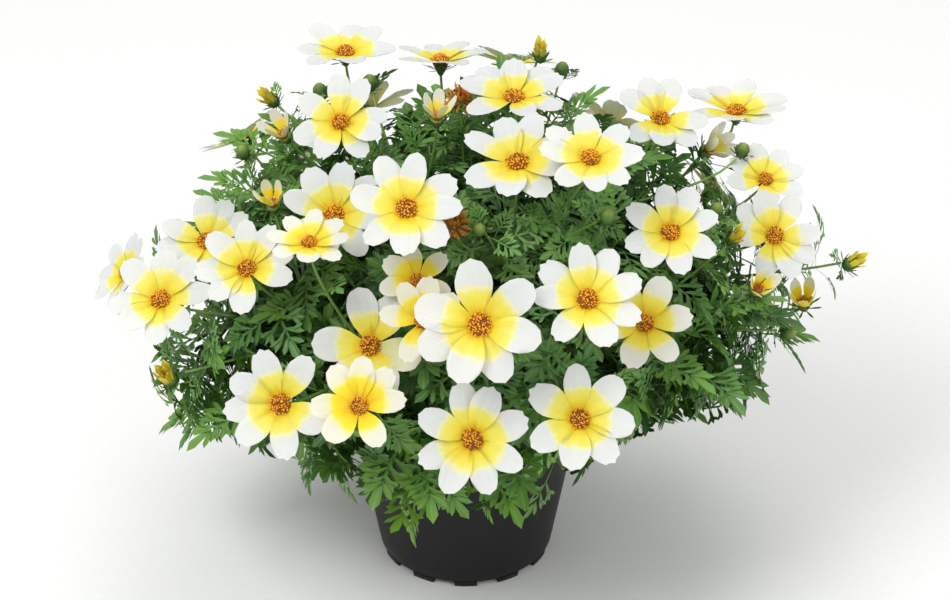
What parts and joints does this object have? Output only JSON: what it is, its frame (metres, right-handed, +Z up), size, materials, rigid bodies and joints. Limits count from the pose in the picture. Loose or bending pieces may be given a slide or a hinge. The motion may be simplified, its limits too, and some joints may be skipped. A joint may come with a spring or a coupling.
{
  "type": "potted fernleaf beggarticks",
  "caption": "Bushy bedding plant with white and yellow daisy-like blooms, thin fern-like leaves and wiry green stems, growing from soil in a small tapered black nursery pot.",
  "frame": {"origin": "on the surface the pot stands on, under the middle of the pot", "axes": "+Z up along the pot's axis, -Y towards the side the picture was taken from, +X to its right"},
  "size_m": [0.3396, 0.2614, 0.2402],
  "materials": {
    "pot": "moulded black polypropylene, semi-matt",
    "soil": "loose dark peat compost",
    "petals": "soft matt petals, white at the tips and yellow towards the orange disc",
    "foliage": "waxy mid-green leaves and stems, faintly glossy"
  },
  "bodies": {
    "root": {"pot": "pot", "soil": "soil", "bloom_01": "petals", "bloom_02": "petals", "bloom_03": "petals", "bloom_04": "petals", "bloom_05": "petals", "bloom_06": "petals", "bloom_07": "petals", "bloom_08": "petals", "bloom_09": "petals", "bloom_10": "petals", "bloom_11": "petals", "bloom_12": "petals", "bloom_13": "petals", "bloom_14": "petals", "bloom_15": "petals", "bloom_16": "petals", "bloom_17": "petals", "bloom_18": "petals", "bloom_19": "petals", "bloom_20": "petals", "bloom_21": "petals", "bloom_22": "petals", "bloom_23": "petals", "bloom_24": "petals", "bloom_25": "petals", "bloom_26": "petals", "bloom_27": "petals", "bloom_28": "petals", "bloom_29": "petals", "bloom_30": "petals", "bloom_31": "petals", "bloom_32": "petals", "bloom_33": "petals", "bloom_34": "petals", "bloom_35": "petals", "half_open_01": "petals", "half_open_02": "petals", "half_open_03": "petals", "half_open_04": "petals", "half_open_05": "petals", "half_open_06": "petals", "stem_01": "foliage", "stem_02": "foliage", "stem_03": "foliage", "stem_04": "foliage", "stem_05": "foliage", "stem_06": "foliage", "stem_07": "foliage", "stem_08": "foliage", "stem_09": "foliage", "stem_10": "foliage", "stem_11": "foliage", "stem_12": "foliage", "stem_13": "foliage", "stem_14": "foliage", "stem_15": "foliage", "stem_16": "foliage"}
  },
  "joints": []
}
